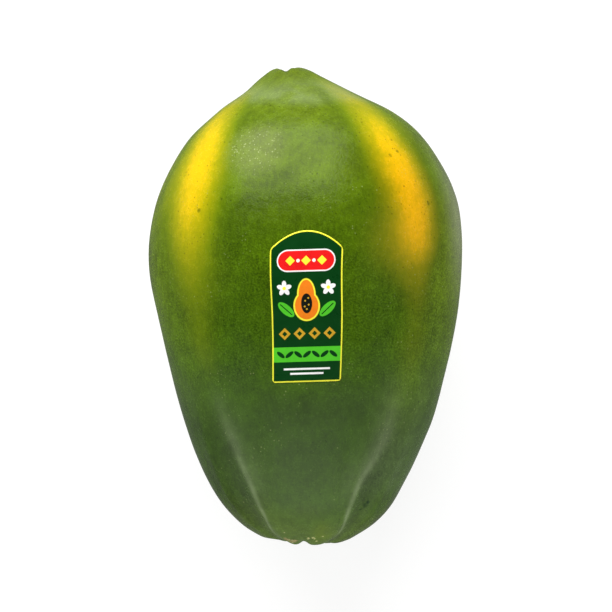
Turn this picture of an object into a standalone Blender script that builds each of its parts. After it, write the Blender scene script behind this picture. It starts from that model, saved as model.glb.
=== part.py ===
"""A whole papaya lying on its side, with the label that is stuck on it. Metres, +Z up.

The long axis runs along Y, from the stem end at -Y to the blossom end at +Y, and the label faces up.
A place on the skin is given by two numbers: run, from 0 at the middle of the stem end to 1 at the
middle of the blossom end, and turn, the angle round the long axis, from the top towards +X.
"""

import math

import bmesh
import bpy
import numpy as np
from mathutils import Matrix

MM = 0.001

# Driving sizes of the fruit
LENGTH = 220 * MM
DEPTH_TO_WIDTH = 0.955
REST_TILT = math.radians(9.2)  # the stem end lies lower, so that the weight is over the flat spot
FLAT_DEPTH = 1.0 * MM  # how much of the roundness the small flat spot takes away
FLAT_ROUNDING = 0.4 * MM  # how gently the flat spot meets the round skin

# The outline from the stem scar to the blossom scar: distance from the stem end, half width, in mm
OUTLINE = [
    (5.0, 0.0),
    (4.8, 4.0),
    (4.0, 7.0),
    (1.9, 9.8),
    (0.3, 12.6),
    (0.1, 14.6),
    (1.5, 18.2),
    (4.4, 23.2),
    (8.3, 29.4),
    (15.7, 37.2),
    (29.5, 45.8),
    (53.4, 56.3),
    (80.3, 63.9),
    (103.4, 68.9),
    (122.0, 71.9),
    (140.0, 72.4),
    (158.8, 69.4),
    (175.0, 62.5),
    (189.0, 53.1),
    (200.4, 39.9),
    (209.6, 24.0),
    (216.0, 13.9),
    (219.2, 8.4),
    (220.1, 5.8),
    (220.5, 3.0),
    (220.5, 0.0),
]

# How far the middle of each section stands towards +X: distance from the stem end, shift, in mm
SWAY = [
    (0, 1.0),
    (12, 0.9),
    (28, 0.2),
    (42, 0.5),
    (56, 1.3),
    (80, 1.45),
    (104, 1.1),
    (125, 0.2),
    (160, 0.5),
    (186, 0.4),
    (198, 0.2),
    (208, -2.7),
    (216, -6.2),
    (221, -7.4),
]

# Five lobes: the furrows between them, at the blossom half and at the stem end, in degrees of turn
FURROWS = [(-49, -45), (42, 42), (112, 110), (185, 182), (-117, -112)]
FURROW_EASES = 40 * MM, 120 * MM  # a furrow goes from one angle to the other between these distances
FURROW_DEPTHS = [(0, 0.085), (12, 0.078), (40, 0.040), (70, 0.017), (110, 0.007), (190, 0.008), (220, 0.02)]
FURROW_WIDTHS = [(0, 15), (15, 10.5), (40, 10.5), (80, 15), (120, 20), (220, 20)]
SHOULDER_HEIGHTS = [(0, 0.02), (30, 0.024), (60, 0.011), (95, 0.0), (220, 0.0)]
SHOULDER_OFFSET, SHOULDER_WIDTH = 12.0, 5.5
LOBE_FADE = 4 * MM, 12 * MM  # towards both ends the lobes fade between these distances from the axis

# Slow swells that keep the fruit from being even: height share, waves round, waves along, phase
SWELLS = [(0.0035, 2, 1.0, 0.6), (0.0030, 3, 1.5, 2.1), (0.0022, 1, 3.0, 4.0)]

# Blossom end: creases that meet in a small pit: degrees of turn, share of the full depth
TIP_PIT = -1.5 * MM, 0.0
TIP_CREASES = [(-4, 1.0), (184, 1.0), (55, 0.4), (130, 0.4), (-50, 0.4), (-132, 0.4)]
TIP_CREASE_DEPTH, TIP_CREASE_WIDTH = 2.0 * MM, 2.0 * MM
TIP_CREASE_FADES = 3.0 * MM, 13.0 * MM

# Stem end: dips in the rim of the hollow round the scar: degrees of turn, depth in mm, width in degrees
RIM_DIPS = [
    (-45, 1.3, 15),
    (42, 1.3, 15),
    (110, 1.5, 16),
    (182, 1.9, 14),
    (-112, 1.5, 16),
    (-82, 2.9, 30),
    (-150, 0.9, 26),
    (78, 0.8, 20),
    (-7, 1.9, 9),
]
RIM_BAND = 14.0 * MM, 5.0 * MM  # middle and half width of the rim, from the long axis

# Label
LABEL_LOWER_WIDTH, LABEL_UPPER_WIDTH = 31.5 * MM, 33.4 * MM
LABEL_SIDE = 60.6 * MM  # length of its straight sides, corners included
LABEL_ARCH = 8.0 * MM  # how much its top rises in the middle
LABEL_CORNER = 1.6 * MM
LABEL_SLANT = 0.5 * MM  # how much further up its right side sits, and its left side down
LABEL_FROM_STEM_END = 75.7 * MM
LABEL_OFF_LOWER, LABEL_OFF_UPPER = -0.96 * MM, 0.35 * MM  # how far its two ends are towards +X
LABEL_GAP = 0.3 * MM
LABEL_THICKNESS = 0.4 * MM

SEGMENTS, RINGS = 80, 56
END_CROWDING = 0.72  # rings stand closer together towards both ends
LABEL_COLUMNS, LABEL_ROWS = 14, 22


class SmoothLine:
    """A smooth line through values that stand at rising knots."""

    def __init__(self, knots, values):
        self.knots = np.array(knots, float)
        self.values = np.array(values, float)
        self.slopes = np.gradient(self.values, self.knots)

    def at(self, knot):
        span = np.clip(np.searchsorted(self.knots, knot) - 1, 0, len(self.knots) - 2)
        width = self.knots[span + 1] - self.knots[span]
        share = (knot - self.knots[span]) / width
        rest = 1 - share
        return (
            (1 + 2 * share) * rest**2 * self.values[span]
            + share * rest**2 * width * self.slopes[span]
            + share**2 * (3 - 2 * share) * self.values[span + 1]
            - share**2 * rest * width * self.slopes[span + 1]
        )


def outline_lines(points):
    """Two lines, of distance and of half width, read by the share of the way along the chords."""
    distances, radii = np.array(points, float).T * MM
    knots = np.concatenate([[0], np.cumsum(np.hypot(np.diff(distances), np.diff(radii)))])
    knots /= knots[-1]
    return SmoothLine(knots, distances), SmoothLine(knots, radii)


def by_distance(rows, unit=1.0):
    """A line from a table whose first column is the distance from the stem end in millimetres."""
    distances, values = np.array(rows, float).T
    return SmoothLine(distances * MM, values * unit)


DISTANCE_AT, RADIUS_AT = outline_lines(OUTLINE)
SWAY_AT = by_distance(SWAY, MM)
FURROW_DEPTH_AT = by_distance(FURROW_DEPTHS)
FURROW_WIDTH_AT = by_distance(FURROW_WIDTHS)
SHOULDER_HEIGHT_AT = by_distance(SHOULDER_HEIGHTS)


def smoothstep(low, high, value):
    share = np.clip((value - low) / (high - low), 0, 1)
    return share * share * (3 - 2 * share)


def bell(offset, width):
    return np.exp(-((offset / width) ** 2))


def angle_between(a, b):
    """The smaller angle from b to a, in degrees, with its sign."""
    return (a - b + 180) % 360 - 180


def section_share(distance, radius, turn):
    """The skin's distance from the long axis, as a share of a plain round section's."""
    degrees = np.degrees(turn)
    depth = FURROW_DEPTH_AT.at(distance)
    width = FURROW_WIDTH_AT.at(distance)
    shoulder = SHOULDER_HEIGHT_AT.at(distance)
    towards_blossom = smoothstep(*FURROW_EASES, distance)
    relief = 0.0
    for at_blossom, at_stem in FURROWS:
        offset = angle_between(degrees, at_stem + (at_blossom - at_stem) * towards_blossom)
        relief -= depth * bell(offset, width)
        relief += shoulder * bell(np.abs(offset) - SHOULDER_OFFSET, SHOULDER_WIDTH)
    share = 1 + relief * smoothstep(*LOBE_FADE, radius)
    for height, round_waves, along_waves, phase in SWELLS:
        share += height * np.sin(round_waves * turn + along_waves * math.tau * distance / LENGTH + phase)
    return share


def tip_crease(x, z):
    """How deep the creases of the blossom end are here, in metres, along the long axis."""
    x, z = x - TIP_PIT[0], z - TIP_PIT[1]
    left = 1.0
    for degrees, share in TIP_CREASES:
        turn = math.radians(degrees)
        along = x * math.sin(turn) + z * math.cos(turn)
        across = x * math.cos(turn) - z * math.sin(turn)
        left *= 1 - share * bell(np.hypot(across, np.minimum(along, 0)), TIP_CREASE_WIDTH)
    return TIP_CREASE_DEPTH * (1 - left) * (1 - smoothstep(*TIP_CREASE_FADES, np.hypot(x, z)))


def rim_dip(radius, turn):
    """How deep the stem end's rim is dented here, in metres, along the long axis."""
    degrees = np.degrees(turn)
    dip = sum(depth * bell(angle_between(degrees, at), width) for at, depth, width in RIM_DIPS)
    return dip * MM * bell(radius - RIM_BAND[0], RIM_BAND[1])


def upright_skin(run, turn):
    """Places on the skin before the fruit is laid down, with the long axis level at z = 0."""
    distance, radius = DISTANCE_AT.at(run), RADIUS_AT.at(run)
    radius = radius * section_share(distance, radius, turn)
    x, z = radius * np.sin(turn), radius * np.cos(turn) * DEPTH_TO_WIDTH
    y = distance - np.where(run > 0.5, tip_crease(x, z), -rim_dip(radius, turn))
    return np.stack([x + SWAY_AT.at(distance), y - LENGTH / 2, z], axis=-1)


def upright_normal(run, turn):
    step = 1e-4
    along = upright_skin(run + step, turn) - upright_skin(run - step, turn)
    around = upright_skin(run, turn + step) - upright_skin(run, turn - step)
    normal = np.cross(around, along)
    return normal / np.linalg.norm(normal, axis=-1, keepdims=True)


def run_at(distance):
    """The run at a distance from the stem end, on the fruit's side."""
    runs = np.linspace(0.1, 0.9, 801)
    return np.interp(distance, DISTANCE_AT.at(runs), runs)


def make_material(name, colour, roughness):
    material = bpy.data.materials.new(name)
    material.use_nodes = True
    shader = material.node_tree.nodes["Principled BSDF"]
    shader.inputs["Base Color"].default_value = (*colour, 1)
    shader.inputs["Roughness"].default_value = roughness
    shader.inputs["Metallic"].default_value = 0.0
    return material


def add_object(name, bm, material):
    mesh = bpy.data.meshes.new(name)
    bm.to_mesh(mesh)
    bm.free()
    mesh.shade_smooth()
    mesh.materials.append(material)
    obj = bpy.data.objects.new(name, mesh)
    bpy.context.scene.collection.objects.link(obj)
    return obj


def make_fruit():
    """The whole fruit as one closed skin, shaped from a sphere whose poles are the two ends."""
    bm = bmesh.new()
    bmesh.ops.create_uvsphere(bm, u_segments=SEGMENTS, v_segments=RINGS, radius=1.0)
    x, y, z = np.array([vert.co for vert in bm.verts]).T
    even = 1 - np.arccos(np.clip(z, -1, 1)) / math.pi
    run = even - END_CROWDING * np.sin(math.tau * even) / math.tau
    for vert, place in zip(bm.verts, upright_skin(run, np.arctan2(y, x))):
        vert.co = place
    return bm


def corner_cut(inwards):
    """How much a rounded corner takes off the edge at a distance inwards from the label's side."""
    into_corner = np.maximum(0, LABEL_CORNER - inwards)
    return LABEL_CORNER - np.sqrt(np.maximum(0, LABEL_CORNER**2 - into_corner**2))


def make_label():
    """The label as a sheet that follows the skin. A Solidify modifier gives it its thickness."""
    bm = bmesh.new()
    bmesh.ops.create_grid(bm, x_segments=LABEL_COLUMNS, y_segments=LABEL_ROWS, size=1.0)
    x, y, _ = np.array([vert.co for vert in bm.verts]).T
    side, share_up = np.sin(x * math.pi / 2), (y + 1) / 2
    half_width = (LABEL_LOWER_WIDTH + (LABEL_UPPER_WIDTH - LABEL_LOWER_WIDTH) * share_up) / 2
    cut = corner_cut(half_width * (1 - np.abs(side)))
    low, high = cut, LABEL_SIDE + LABEL_ARCH * (1 - side**2) - cut
    up = low + (high - low) * share_up + LABEL_SLANT * side
    run = run_at(LABEL_FROM_STEM_END + up)
    off_middle = LABEL_OFF_LOWER + (LABEL_OFF_UPPER - LABEL_OFF_LOWER) * share_up
    turn = (side * half_width + off_middle) / RADIUS_AT.at(run)
    for vert, place in zip(bm.verts, upright_skin(run, turn) + upright_normal(run, turn) * LABEL_GAP):
        vert.co = place
    bmesh.ops.recalc_face_normals(bm, faces=bm.faces)
    return bm


def press_flat(bm, lowest):
    """Lowers the fruit onto z = 0, so that its lowest skin becomes a small flat spot."""
    for vert in bm.verts:
        above = vert.co.z - lowest - FLAT_DEPTH
        if above < 0:
            vert.co.z = 0.0
        elif above < FLAT_ROUNDING:
            vert.co.z = above * above / (2 * FLAT_ROUNDING)
        else:
            vert.co.z = above - FLAT_ROUNDING / 2


def main():
    for obj in list(bpy.data.objects):
        bpy.data.objects.remove(obj)
    fruit, label = make_fruit(), make_label()
    laid_down = Matrix.Rotation(REST_TILT, 3, "X")
    for bm in (fruit, label):
        bmesh.ops.rotate(bm, verts=bm.verts, cent=(0, 0, 0), matrix=laid_down)
    lowest = min(vert.co.z for vert in fruit.verts)
    press_flat(fruit, lowest)
    bmesh.ops.translate(label, verts=label.verts, vec=(0, 0, -lowest - FLAT_DEPTH - FLAT_ROUNDING / 2))
    corners = np.array([vert.co for vert in fruit.verts])
    middle = (corners.min(axis=0) + corners.max(axis=0)) / 2
    for bm in (fruit, label):
        bmesh.ops.translate(bm, verts=bm.verts, vec=(-middle[0], -middle[1], 0))
    add_object("papaya", fruit, make_material("papaya_skin", (0.085, 0.15, 0.028), 0.42))
    sheet = add_object("label", label, make_material("label_film", (0.004, 0.055, 0.018), 0.35))
    solid = sheet.modifiers.new("thickness", "SOLIDIFY")
    solid.thickness = LABEL_THICKNESS
    solid.offset = 1.0
    solid.use_even_offset = True


main()
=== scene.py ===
"""The looks of a papaya that lies on its side: its fine skin, its two scars and its fruit label.

Everything is in metres, +Z up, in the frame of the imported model. A place on the skin is given by two
numbers: run, from 0 at the middle of the stem end to 1 at the middle of the blossom end, and turn,
the angle round the long axis, from the top towards +X.
"""

import math

import bmesh
import bpy
import numpy as np
from mathutils import Matrix, Vector, noise


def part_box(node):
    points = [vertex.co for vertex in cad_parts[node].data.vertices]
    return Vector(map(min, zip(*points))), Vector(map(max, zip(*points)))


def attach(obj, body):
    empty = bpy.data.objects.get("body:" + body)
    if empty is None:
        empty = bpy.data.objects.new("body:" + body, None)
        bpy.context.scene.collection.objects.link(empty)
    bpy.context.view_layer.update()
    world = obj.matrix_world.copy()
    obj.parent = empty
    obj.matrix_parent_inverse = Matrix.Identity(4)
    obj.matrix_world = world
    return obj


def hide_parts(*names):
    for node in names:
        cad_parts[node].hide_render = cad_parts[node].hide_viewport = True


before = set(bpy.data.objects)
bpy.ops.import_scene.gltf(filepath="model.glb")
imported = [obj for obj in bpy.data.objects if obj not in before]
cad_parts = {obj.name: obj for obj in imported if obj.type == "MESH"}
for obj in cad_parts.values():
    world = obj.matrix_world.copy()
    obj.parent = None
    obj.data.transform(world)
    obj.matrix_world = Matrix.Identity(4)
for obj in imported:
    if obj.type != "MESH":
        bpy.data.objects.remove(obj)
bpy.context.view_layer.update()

MM = 0.001
MM_PER_METRE = 1000

# Sizes of the fruit, as in the part's own source
LENGTH = 220 * MM
DEPTH_TO_WIDTH = 0.955
REST_TILT = math.radians(9.2)
FLAT_ROUNDING = 0.4 * MM

# The outline from the stem scar to the blossom scar: distance from the stem end, half width, in mm
OUTLINE = [
    (5.0, 0.0),
    (4.8, 4.0),
    (4.0, 7.0),
    (1.9, 9.8),
    (0.3, 12.6),
    (0.1, 14.6),
    (1.5, 18.2),
    (4.4, 23.2),
    (8.3, 29.4),
    (15.7, 37.2),
    (29.5, 45.8),
    (53.4, 56.3),
    (80.3, 63.9),
    (103.4, 68.9),
    (122.0, 71.9),
    (140.0, 72.4),
    (158.8, 69.4),
    (175.0, 62.5),
    (189.0, 53.1),
    (200.4, 39.9),
    (209.6, 24.0),
    (216.0, 13.9),
    (219.2, 8.4),
    (220.1, 5.8),
    (220.5, 3.0),
    (220.5, 0.0),
]

# How far the middle of each section stands towards +X: distance from the stem end, shift, in mm
SWAY = [
    (0, 1.0),
    (12, 0.9),
    (28, 0.2),
    (42, 0.5),
    (56, 1.3),
    (80, 1.45),
    (104, 1.1),
    (125, 0.2),
    (160, 0.5),
    (186, 0.4),
    (198, 0.2),
    (208, -2.7),
    (216, -6.2),
    (221, -7.4),
]

# Five lobes: the furrows between them, at the blossom half and at the stem end, in degrees of turn
FURROWS = [(-49, -45), (42, 42), (112, 110), (185, 182), (-117, -112)]
FURROW_EASES = 40 * MM, 120 * MM
FURROW_DEPTHS = [(0, 0.085), (12, 0.078), (40, 0.040), (70, 0.017), (110, 0.007), (190, 0.008), (220, 0.02)]
FURROW_WIDTHS = [(0, 15), (15, 10.5), (40, 10.5), (80, 15), (120, 20), (220, 20)]
SHOULDER_HEIGHTS = [(0, 0.02), (30, 0.024), (60, 0.011), (95, 0.0), (220, 0.0)]
SHOULDER_OFFSET, SHOULDER_WIDTH = 12.0, 5.5
LOBE_FADE = 4 * MM, 12 * MM

# Slow swells: height share, waves round, waves along, phase
SWELLS = [(0.0035, 2, 1.0, 0.6), (0.0030, 3, 1.5, 2.1), (0.0022, 1, 3.0, 4.0)]

# Blossom end: creases that meet in a small pit: degrees of turn, share of the full depth
TIP_PIT = -1.5 * MM, 0.0
TIP_CREASES = [(-4, 1.0), (184, 1.0), (55, 0.4), (130, 0.4), (-50, 0.4), (-132, 0.4)]
TIP_CREASE_DEPTH, TIP_CREASE_WIDTH = 2.0 * MM, 2.0 * MM
TIP_CREASE_FADES = 3.0 * MM, 13.0 * MM

# Stem end: dips in the rim of the hollow round the scar: degrees of turn, depth in mm, width in degrees
RIM_DIPS = [
    (-45, 1.3, 15),
    (42, 1.3, 15),
    (110, 1.5, 16),
    (182, 1.9, 14),
    (-112, 1.5, 16),
    (-82, 2.9, 30),
    (-150, 0.9, 26),
    (78, 0.8, 20),
    (-7, 1.9, 9),
]
RIM_BAND = 14.0 * MM, 5.0 * MM

# Fine relief of the skin, all of it inwards: depth and size of the dents
DENTS = [(0.30 * MM, 30 * MM), (0.14 * MM, 11 * MM), (0.04 * MM, 3.5 * MM)]
DENT_FADE = 10 * MM, 35 * MM
SKIN_INSET = 0.04 * MM
SEGMENTS, RINGS = 320, 220
END_CROWDING = 0.72

# Stem scar: a corky disc with a raised ring of bundle ends
SCAR_RADIUS = 7.6 * MM
SCAR_EDGE = 0.82 * SCAR_RADIUS, 1.1 * SCAR_RADIUS
SCAR_COLOUR_EDGE = 0.8 * SCAR_RADIUS, 1.15 * SCAR_RADIUS
SCAR_RING_RADIUS, SCAR_RING_WIDTH, SCAR_RING_HEIGHT = 4.6 * MM, 1.0 * MM, 0.5 * MM
SCAR_BUNDLES, SCAR_BUNDLE_DIP = 10, 0.25
SCAR_CRUMB_DEPTH, SCAR_CRUMB_SIZE = 0.5 * MM, 1.3 * MM
STEM_END_RUN = 0.2  # the scar's relief and colour stay below this run

# Yellow streaks: distance from the stem end in mm, middle and half width in degrees of turn, ripeness
LEFT_STREAK = [
    (55, -44.0, 9.0, 0.00),
    (72, -45.0, 10.0, 0.07),
    (90, -47.0, 12.0, 0.15),
    (108, -47.0, 13.0, 0.19),
    (122, -47.5, 12.5, 0.29),
    (134, -48.2, 12.0, 0.46),
    (147, -49.3, 12.2, 0.70),
    (160, -50.3, 13.0, 0.90),
    (175, -52.3, 14.3, 1.00),
    (188, -55.8, 14.6, 0.86),
    (198, -64.0, 19.0, 0.60),
    (207, -66.0, 25.0, 0.30),
    (220, -60.0, 40.0, 0.08),
]
RIGHT_STREAK = [
    (55, 44.0, 9.0, 0.00),
    (72, 46.0, 10.0, 0.06),
    (90, 47.0, 12.0, 0.13),
    (107, 46.0, 11.0, 0.14),
    (118, 45.0, 10.0, 0.22),
    (127, 44.2, 9.8, 0.37),
    (136, 44.5, 10.4, 0.75),
    (143, 44.6, 10.7, 0.92),
    (152, 44.8, 10.7, 0.98),
    (163, 44.1, 11.3, 1.00),
    (177, 42.3, 12.4, 1.00),
    (189, 40.4, 12.7, 0.85),
    (198, 42.0, 16.8, 0.56),
    (207, 49.0, 24.0, 0.42),
    (220, 56.0, 40.0, 0.08),
]

# Faint ripening beside the streaks: distance, length in mm, middle, half width in degrees, ripeness
FAINT_RIPENING = [
    (126, 20, -28, 9, 0.06),
    (138, 20, 29, 11, 0.15),
    (150, 30, 14, 14, 0.05),
    (4, 6, 22, 26, 0.13),
    (9, 5, 12, 9, 0.08),
    (162, 22, -71, 8, 0.20),
    (4, 5, -32, 14, 0.08),
    (188, 9, -75, 7, 0.10),
    (190, 9, 63, 8, 0.15),
]

# Label, as in the part's own source, but nearer to the skin and thinner
LABEL_LOWER_WIDTH, LABEL_UPPER_WIDTH = 31.5 * MM, 33.4 * MM
LABEL_SIDE = 60.6 * MM
LABEL_ARCH = 8.0 * MM
LABEL_CORNER = 1.6 * MM
LABEL_SLANT = 0.5 * MM
LABEL_FROM_STEM_END = 75.7 * MM
LABEL_OFF_LOWER, LABEL_OFF_UPPER = -0.96 * MM, 0.35 * MM
LABEL_LIFT = 0.12 * MM
LABEL_THICKNESS = 0.14 * MM
LABEL_COLUMNS, LABEL_ROWS = 60, 120

# The right streak is the more orange one, save where it fades towards the blossom end. The floor keeps
# skin that neither streak reaches from counting as warm.
WARMTH_FADE, WARMTH_FLOOR = (160 * MM, 200 * MM), 0.02

# Fainter streaks over the furrows that the other side hides: degrees of turn, share of the left streak,
# which is turned there from its own middle
HIDDEN_STREAKS = [(112, 0.42), (184, 0.62), (-117, 0.50)]
LEFT_STREAK_TURN = -48.2

# Painted highlights along the shoulder ridges beside the furrows, drawn as pale lines: degrees of turn near
# the stem end and further up, the bend between them in mm from the stem end, half width in degrees,
# strength. The half width is negative where the furrow has the smaller turn.
SHOULDER_HIGHLIGHT_LINES = [
    (-33.3, -43.6, 22, 70, -2.2, 0.76),
    (30.4, 41.0, 18, 50, 2.3, 0.82),
    (97.0, 100.0, 22, 70, 2.6, 0.45),
    (125.0, 122.0, 22, 70, -2.6, 0.40),
    (170.0, 173.0, 22, 70, 2.6, 0.45),
    (197.0, 194.0, 22, 70, -2.6, 0.45),
    (-101.0, -104.0, 22, 70, -2.6, 0.40),
    (-129.0, -126.0, 22, 70, 2.6, 0.45),
]
LINE_RISE, LINE_FADE = (0.0, 10 * MM), (12 * MM, 85 * MM)

# At the very stem end a line swings out again: the share of its bend, where that fades
LINE_END_BEND, LINE_END_BEND_FADE = 0.8, (2 * MM, 16 * MM)

# A line's width at the stem end, as a share of its half width, and how far up it grows by one half width
LINE_START_SHARE, LINE_WIDENING = 0.7, 42 * MM

# The side away from the furrow is softer: its core's share of the width, and a wide glow in degrees that
# takes over a share of the strength
LINE_CORE = 0.8
LINE_GLOW_WIDTH, LINE_GLOW_SHARE, LINE_GLOW_RISE = 10.0, 0.55, (16 * MM, 40 * MM)

# Shade in the furrows: half width in degrees, where it fades
FURROW_SHADE_WIDTH, FURROW_SHADE_FADE = 7.0, (35 * MM, 80 * MM)

# Painted side light and grazing sheen that make the flanks beyond the streaks lighter and greyer: degrees
# of turn over which they come in, where along the fruit they rise and fade. The right one starts further in
# below its streak, and the left one is weaker.
FLANK_TURNS, FLANK_RISE = (42.0, 56.0), (25 * MM, 95 * MM)
RIGHT_FLANK_REACH, RIGHT_FLANK_REACH_FADE = 16.0, (90 * MM, 115 * MM)
RIGHT_FLANK_FADE = 148 * MM, 172 * MM
LEFT_FLANK_SHARE, LEFT_FLANK_FADE = 0.65, (172 * MM, 194 * MM)

# A paler, greyer band of painted sheen beside the right shoulder's line, part of the flank light: degrees
# of turn, half width, share, rise and fade
RIGHT_BAND_TURN, RIGHT_BAND_WIDTH, RIGHT_BAND_SHARE = 47.0, 13.0, 0.80
RIGHT_BAND_RISE, RIGHT_BAND_FADE = (16 * MM, 38 * MM), (62 * MM, 92 * MM)

# Painted shade on the panels beyond the furrows near the stem end, which turn away from the light: degrees
# of turn over which it comes in, fade, share. The left one has a darker belt of it.
LEFT_PANEL_TURNS, LEFT_PANEL_FADE = (44.0, 58.0), (45 * MM, 80 * MM)
LEFT_BELT_TURNS, LEFT_BELT_PLACE, LEFT_BELT_WIDTH, LEFT_BELT_SHARE = (50.0, 64.0), 22 * MM, 12 * MM, 0.9
RIGHT_PANEL_TURNS, RIGHT_PANEL_FADE, RIGHT_PANEL_SHARE = (48.0, 60.0), (14 * MM, 32 * MM), 1.6

# A pale strip of painted highlight low on the right side, where the rim catches a reflection: degrees of
# turn over which it comes in, middle, half length
RIM_STRIP_TURNS, RIM_STRIP_PLACE, RIM_STRIP_LENGTH = (60.0, 80.0), 150 * MM, 26 * MM

# A paler patch with fine pale dots, its paleness partly painted highlight in the sheen: run, degrees of
# turn, radius in mm
PALE_PATCH = 0.755, -24.0, 15.0

# Darker and lighter patches, partly the skin's uneven tone and partly painted sheen and shade round the
# blossom-side softbox's reflection: run, degrees of turn, radius in mm, change of the light
TONE_AND_SHEEN_PATCHES = [
    (0.675, -19.0, 14.0, -0.14),
    (0.490, 19.0, 12.0, -0.14),
    (0.776, -18.7, 10.0, -0.16),
    (0.716, 19.3, 8.5, -0.15),
    (0.735, 2.0, 13.0, 0.10),
    (0.850, 1.0, 9.0, -0.15),
    (0.690, -30.0, 10.0, 0.14),
    (0.250, 40.0, 7.0, 0.10),
    (0.775, -26.0, 7.0, -0.08),
    (0.249, -30.0, 9.0, 0.06),
    (0.292, -13.0, 12.0, 0.06),
    (0.225, 1.0, 17.0, -0.08),
    (0.340, -2.0, 8.0, -0.06),
    (0.310, 9.0, 9.0, -0.05),
]

# Bruised dots and corky nibs that stand out one by one, and pale glints on the folds of the stem end's rim
# that are
# painted highlights: run, degrees of turn, radius in mm
DARK_DOTS = [
    (0.749, 44.7, 1.00),
    (0.741, 39.4, 1.05),
    (0.659, 53.4, 1.20),
    (0.664, 1.0, 0.55),
    (0.647, -44.3, 1.25),
    (0.661, -18.6, 0.60),
    (0.638, -3.0, 0.50),
    (0.431, 35.0, 0.70),
    (0.513, -16.4, 0.45),
    (0.163, 46.2, 1.50),
    (0.169, 47.0, 1.10),
    (0.155, 44.0, 0.80),
    (0.560, 171.0, 0.90),
    (0.700, -128.0, 0.80),
    (0.380, 126.0, 0.70),
]
CORKY_NIBS = [
    (0.078, -29.0, 1.4),
    (0.074, -27.0, 1.8),
    (0.070, -22.5, 1.9),
    (0.072, -17.0, 1.3),
]
# painted highlights on the folds of the stem end's rim
PALE_RIM_GLINTS = [
    (0.0805, 0.9, 0.95),
    (0.0830, 6.6, 0.80),
    (0.0800, 8.6, 0.60),
    (0.0870, 17.5, 0.60),
    (0.0720, 12.3, 0.55),
    (0.099, -24.3, 0.45),
]

# Camera and light, measured from the middle of the fruit in its own upright frame
PHOTO_WIDTH = 282.6 * MM  # what the photo's frame spans across the fruit
CAMERA_DISTANCE = 3.0
CAMERA_SHIFT_X, CAMERA_SHIFT_Y = 0.23 * MM, 0.1 * MM
SENSOR = 36.0
LIGHT_DISTANCE, LIGHT_AIM = 1.25, 0.07

# Softboxes round the fruit: degrees from +Y, degrees above the floor, degrees of roll, width and height
# in metres, brightness
SOFTBOXES = {
    "blossom_side": (-13, 35, -13, 1.6, 1.3, 5.0),
    "left": (-105, 26, 0, 1.2, 0.9, 1.4),
    "right": (100, 26, 0, 1.2, 0.9, 1.8),
    "stem_side": (180, 22, 0, 1.3, 1.0, 1.3),
}
NO_SHEEN = "left", "right"  # softboxes that the skin and the film don't mirror
SKY_BRIGHTNESS = 0.20
FLOOR_GLOW = 0.8
FLOOR_GREYS = 0.24, 0.26
FLOOR_HALF_SIZE, FLOOR_PATCH, FLOOR_ROUGHNESS = 8.0, 0.2, 0.9


class SmoothLine:
    """A smooth line through values that stand at rising knots."""

    def __init__(self, knots, values):
        self.knots = np.array(knots, float)
        self.values = np.array(values, float)
        self.slopes = np.gradient(self.values, self.knots)

    def at(self, knot):
        span = np.clip(np.searchsorted(self.knots, knot) - 1, 0, len(self.knots) - 2)
        width = self.knots[span + 1] - self.knots[span]
        share = (knot - self.knots[span]) / width
        rest = 1 - share
        return (
            (1 + 2 * share) * rest**2 * self.values[span]
            + share * rest**2 * width * self.slopes[span]
            + share**2 * (3 - 2 * share) * self.values[span + 1]
            - share**2 * rest * width * self.slopes[span + 1]
        )


def outline_lines(points):
    """Two lines, of distance and of half width, read by the share of the way along the chords."""
    distances, radii = np.array(points, float).T * MM
    knots = np.concatenate([[0], np.cumsum(np.hypot(np.diff(distances), np.diff(radii)))])
    knots /= knots[-1]
    return SmoothLine(knots, distances), SmoothLine(knots, radii)


def by_distance(rows, column=1, unit=1.0):
    """A line from one column of a table whose first column is the distance in millimetres."""
    columns = np.array(rows, float).T
    return SmoothLine(columns[0] * MM, columns[column] * unit)


DISTANCE_AT, RADIUS_AT = outline_lines(OUTLINE)
SWAY_AT = by_distance(SWAY, unit=MM)
FURROW_DEPTH_AT = by_distance(FURROW_DEPTHS)
FURROW_WIDTH_AT = by_distance(FURROW_WIDTHS)
SHOULDER_HEIGHT_AT = by_distance(SHOULDER_HEIGHTS)


def smoothstep(low, high, value):
    share = np.clip((value - low) / (high - low), 0, 1)
    return share * share * (3 - 2 * share)


def bell(offset, width):
    return np.exp(-((offset / width) ** 2))


def angle_between(a, b):
    """The smaller angle from b to a, in degrees, with its sign."""
    return (a - b + 180) % 360 - 180


def furrow_offsets(distance, turn):
    """How far a place is from each furrow, in degrees of turn."""
    towards_blossom = smoothstep(*FURROW_EASES, distance)
    for at_blossom, at_stem in FURROWS:
        yield angle_between(np.degrees(turn), at_stem + (at_blossom - at_stem) * towards_blossom)


def section_share(distance, radius, turn):
    """The skin's distance from the long axis, as a share of a plain round section's."""
    depth = FURROW_DEPTH_AT.at(distance)
    width = FURROW_WIDTH_AT.at(distance)
    shoulder = SHOULDER_HEIGHT_AT.at(distance)
    relief = 0.0
    for offset in furrow_offsets(distance, turn):
        relief -= depth * bell(offset, width)
        relief += shoulder * bell(np.abs(offset) - SHOULDER_OFFSET, SHOULDER_WIDTH)
    share = 1 + relief * smoothstep(*LOBE_FADE, radius)
    for height, round_waves, along_waves, phase in SWELLS:
        share += height * np.sin(round_waves * turn + along_waves * math.tau * distance / LENGTH + phase)
    return share


def tip_crease(x, z):
    """How deep the creases of the blossom end are here, in metres, along the long axis."""
    x, z = x - TIP_PIT[0], z - TIP_PIT[1]
    left = 1.0
    for degrees, share in TIP_CREASES:
        turn = math.radians(degrees)
        along = x * math.sin(turn) + z * math.cos(turn)
        across = x * math.cos(turn) - z * math.sin(turn)
        left *= 1 - share * bell(np.hypot(across, np.minimum(along, 0)), TIP_CREASE_WIDTH)
    return TIP_CREASE_DEPTH * (1 - left) * (1 - smoothstep(*TIP_CREASE_FADES, np.hypot(x, z)))


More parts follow.
